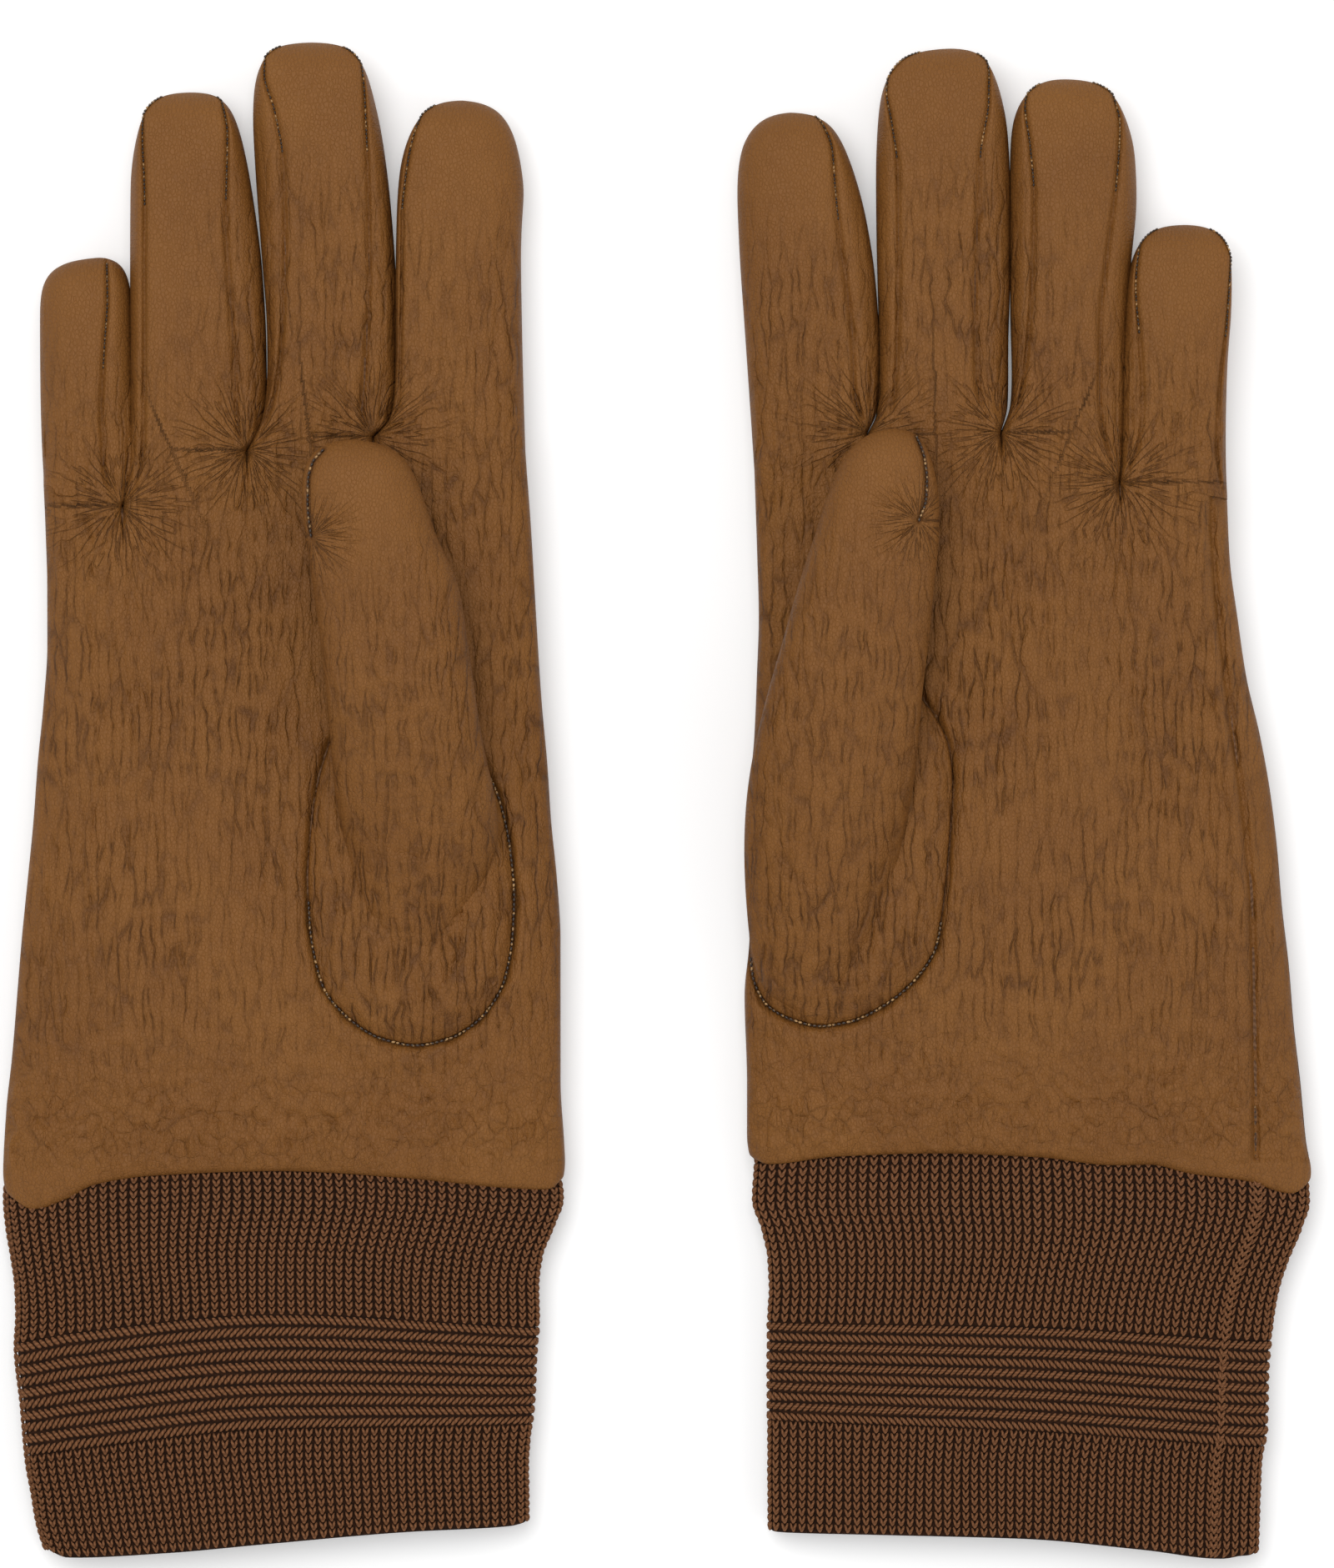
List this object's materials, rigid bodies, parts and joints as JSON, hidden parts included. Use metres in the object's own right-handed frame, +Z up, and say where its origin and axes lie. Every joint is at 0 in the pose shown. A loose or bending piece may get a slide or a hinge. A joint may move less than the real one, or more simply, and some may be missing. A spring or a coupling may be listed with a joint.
{
  "type": "lined leather gloves",
  "caption": "Men's lined leather gloves with fourchette fingers, folded thumbs and ribbed knit cuffs, lying palm up.",
  "frame": {"origin": "on the table, under the centre of the pair's bounding box", "axes": "+Y from the cuffs to the fingertips, +X from the right-hand glove to the left-hand glove, +Z up from the table, towards the palms"},
  "size_m": [0.2668, 0.3064, 0.0355],
  "materials": {
    "leather": "creased brown lambskin, semi-matt",
    "lining": "brushed knit",
    "knit": "ribbed wool knit",
    "thread": "twisted sewing thread"
  },
  "bodies": {
    "right_hand": {"right_hand_leather": "leather", "right_hand_lining": "lining", "right_hem_facing": "leather", "right_side_seam_thread": "thread", "right_thumb_base": "leather", "right_thumb_oval_thread": "thread"},
    "right_index": {"right_index_leather": "leather", "right_index_fourchette": "leather", "right_index_lining": "lining", "right_index_seam_thread": "thread"},
    "right_middle": {"right_middle_leather": "leather", "right_middle_index_side_fourchette": "leather", "right_middle_ring_side_fourchette": "leather", "right_middle_lining": "lining", "right_middle_seam_thread": "thread"},
    "right_ring": {"right_ring_leather": "leather", "right_ring_middle_side_fourchette": "leather", "right_ring_little_side_fourchette": "leather", "right_ring_lining": "lining", "right_ring_seam_thread": "thread"},
    "right_little": {"right_little_leather": "leather", "right_little_fourchette": "leather", "right_little_lining": "lining", "right_little_seam_thread": "thread"},
    "right_thumb": {"right_thumb_leather": "leather", "right_thumb_lining": "lining", "right_thumb_seam_thread": "thread"},
    "right_cuff": {"right_knit_cuff": "knit", "right_cuff_seam": "knit"},
    "left_hand": {"left_hand_leather": "leather", "left_hand_lining": "lining", "left_hem_facing": "leather", "left_side_seam_thread": "thread", "left_thumb_base": "leather", "left_thumb_oval_thread": "thread"},
    "left_index": {"left_index_leather": "leather", "left_index_fourchette": "leather", "left_index_lining": "lining", "left_index_seam_thread": "thread"},
    "left_middle": {"left_middle_leather": "leather", "left_middle_index_side_fourchette": "leather", "left_middle_ring_side_fourchette": "leather", "left_middle_lining": "lining", "left_middle_seam_thread": "thread"},
    "left_ring": {"left_ring_leather": "leather", "left_ring_middle_side_fourchette": "leather", "left_ring_little_side_fourchette": "leather", "left_ring_lining": "lining", "left_ring_seam_thread": "thread"},
    "left_little": {"left_little_leather": "leather", "left_little_fourchette": "leather", "left_little_lining": "lining", "left_little_seam_thread": "thread"},
    "left_thumb": {"left_thumb_leather": "leather", "left_thumb_lining": "lining", "left_thumb_seam_thread": "thread"},
    "left_cuff": {"left_knit_cuff": "knit", "left_cuff_seam": "knit"}
  },
  "joints": [
    {"name": "right_index_curl", "type": "hinge", "parent": "right_hand", "child": "right_index", "pos_m": [-0.04043, 0.07685, 0.01655], "axis": [1, -0.0043, 0], "range_deg": [0, 75]},
    {"name": "right_middle_curl", "type": "hinge", "parent": "right_hand", "child": "right_middle", "pos_m": [-0.06683, 0.07685, 0.01655], "axis": [0.9991, 0.0431, 0], "range_deg": [0, 75]},
    {"name": "right_ring_curl", "type": "hinge", "parent": "right_hand", "child": "right_ring", "pos_m": [-0.09337, 0.07335, 0.01655], "axis": [0.9994, 0.0344, 0], "range_deg": [0, 75]},
    {"name": "right_little_curl", "type": "hinge", "parent": "right_hand", "child": "right_little", "pos_m": [-0.11596, 0.06135, 0.01655], "axis": [0.9999, 0.0108, 0], "range_deg": [0, 75]},
    {"name": "right_thumb_lift", "type": "hinge", "parent": "right_hand", "child": "right_thumb", "pos_m": [-0.0508, 0.01385, 0.03585], "axis": [1, 0, 0], "range_deg": [0, 60]},
    {"name": "right_cuff_fold", "type": "hinge", "parent": "right_hand", "child": "right_cuff", "pos_m": [-0.076, -0.07845, 0.0132], "axis": [-1, 0, 0], "range_deg": [0, 90]},
    {"name": "left_glove_lift", "type": "slide", "parent": "right_hand", "child": "left_hand", "axis": [0, 0, 1], "range_m": [0, 0.12]},
    {"name": "left_index_curl", "type": "hinge", "parent": "left_hand", "child": "left_index", "pos_m": [0.03176, 0.07945, 0.01655], "axis": [0.9974, 0.0721, 0], "range_deg": [0, 75]},
    {"name": "left_middle_curl", "type": "hinge", "parent": "left_hand", "child": "left_middle", "pos_m": [0.05839, 0.07945, 0.01655], "axis": [1, 0.0079, 0], "range_deg": [0, 75]},
    {"name": "left_ring_curl", "type": "hinge", "parent": "left_hand", "child": "left_ring", "pos_m": [0.08346, 0.07845, 0.01655], "axis": [0.9999, -0.0148, 0], "range_deg": [0, 75]},
    {"name": "left_little_curl", "type": "hinge", "parent": "left_hand", "child": "left_little", "pos_m": [0.10561, 0.06745, 0.01655], "axis": [0.9996, -0.0278, 0], "range_deg": [0, 75]},
    {"name": "left_thumb_lift", "type": "hinge", "parent": "left_hand", "child": "left_thumb", "pos_m": [0.0379, 0.01645, 0.03585], "axis": [1, 0, 0], "range_deg": [0, 60]},
    {"name": "left_cuff_fold", "type": "hinge", "parent": "left_hand", "child": "left_cuff", "pos_m": [0.0761, -0.07585, 0.0132], "axis": [-1, 0, 0], "range_deg": [0, 90]}
  ]
}
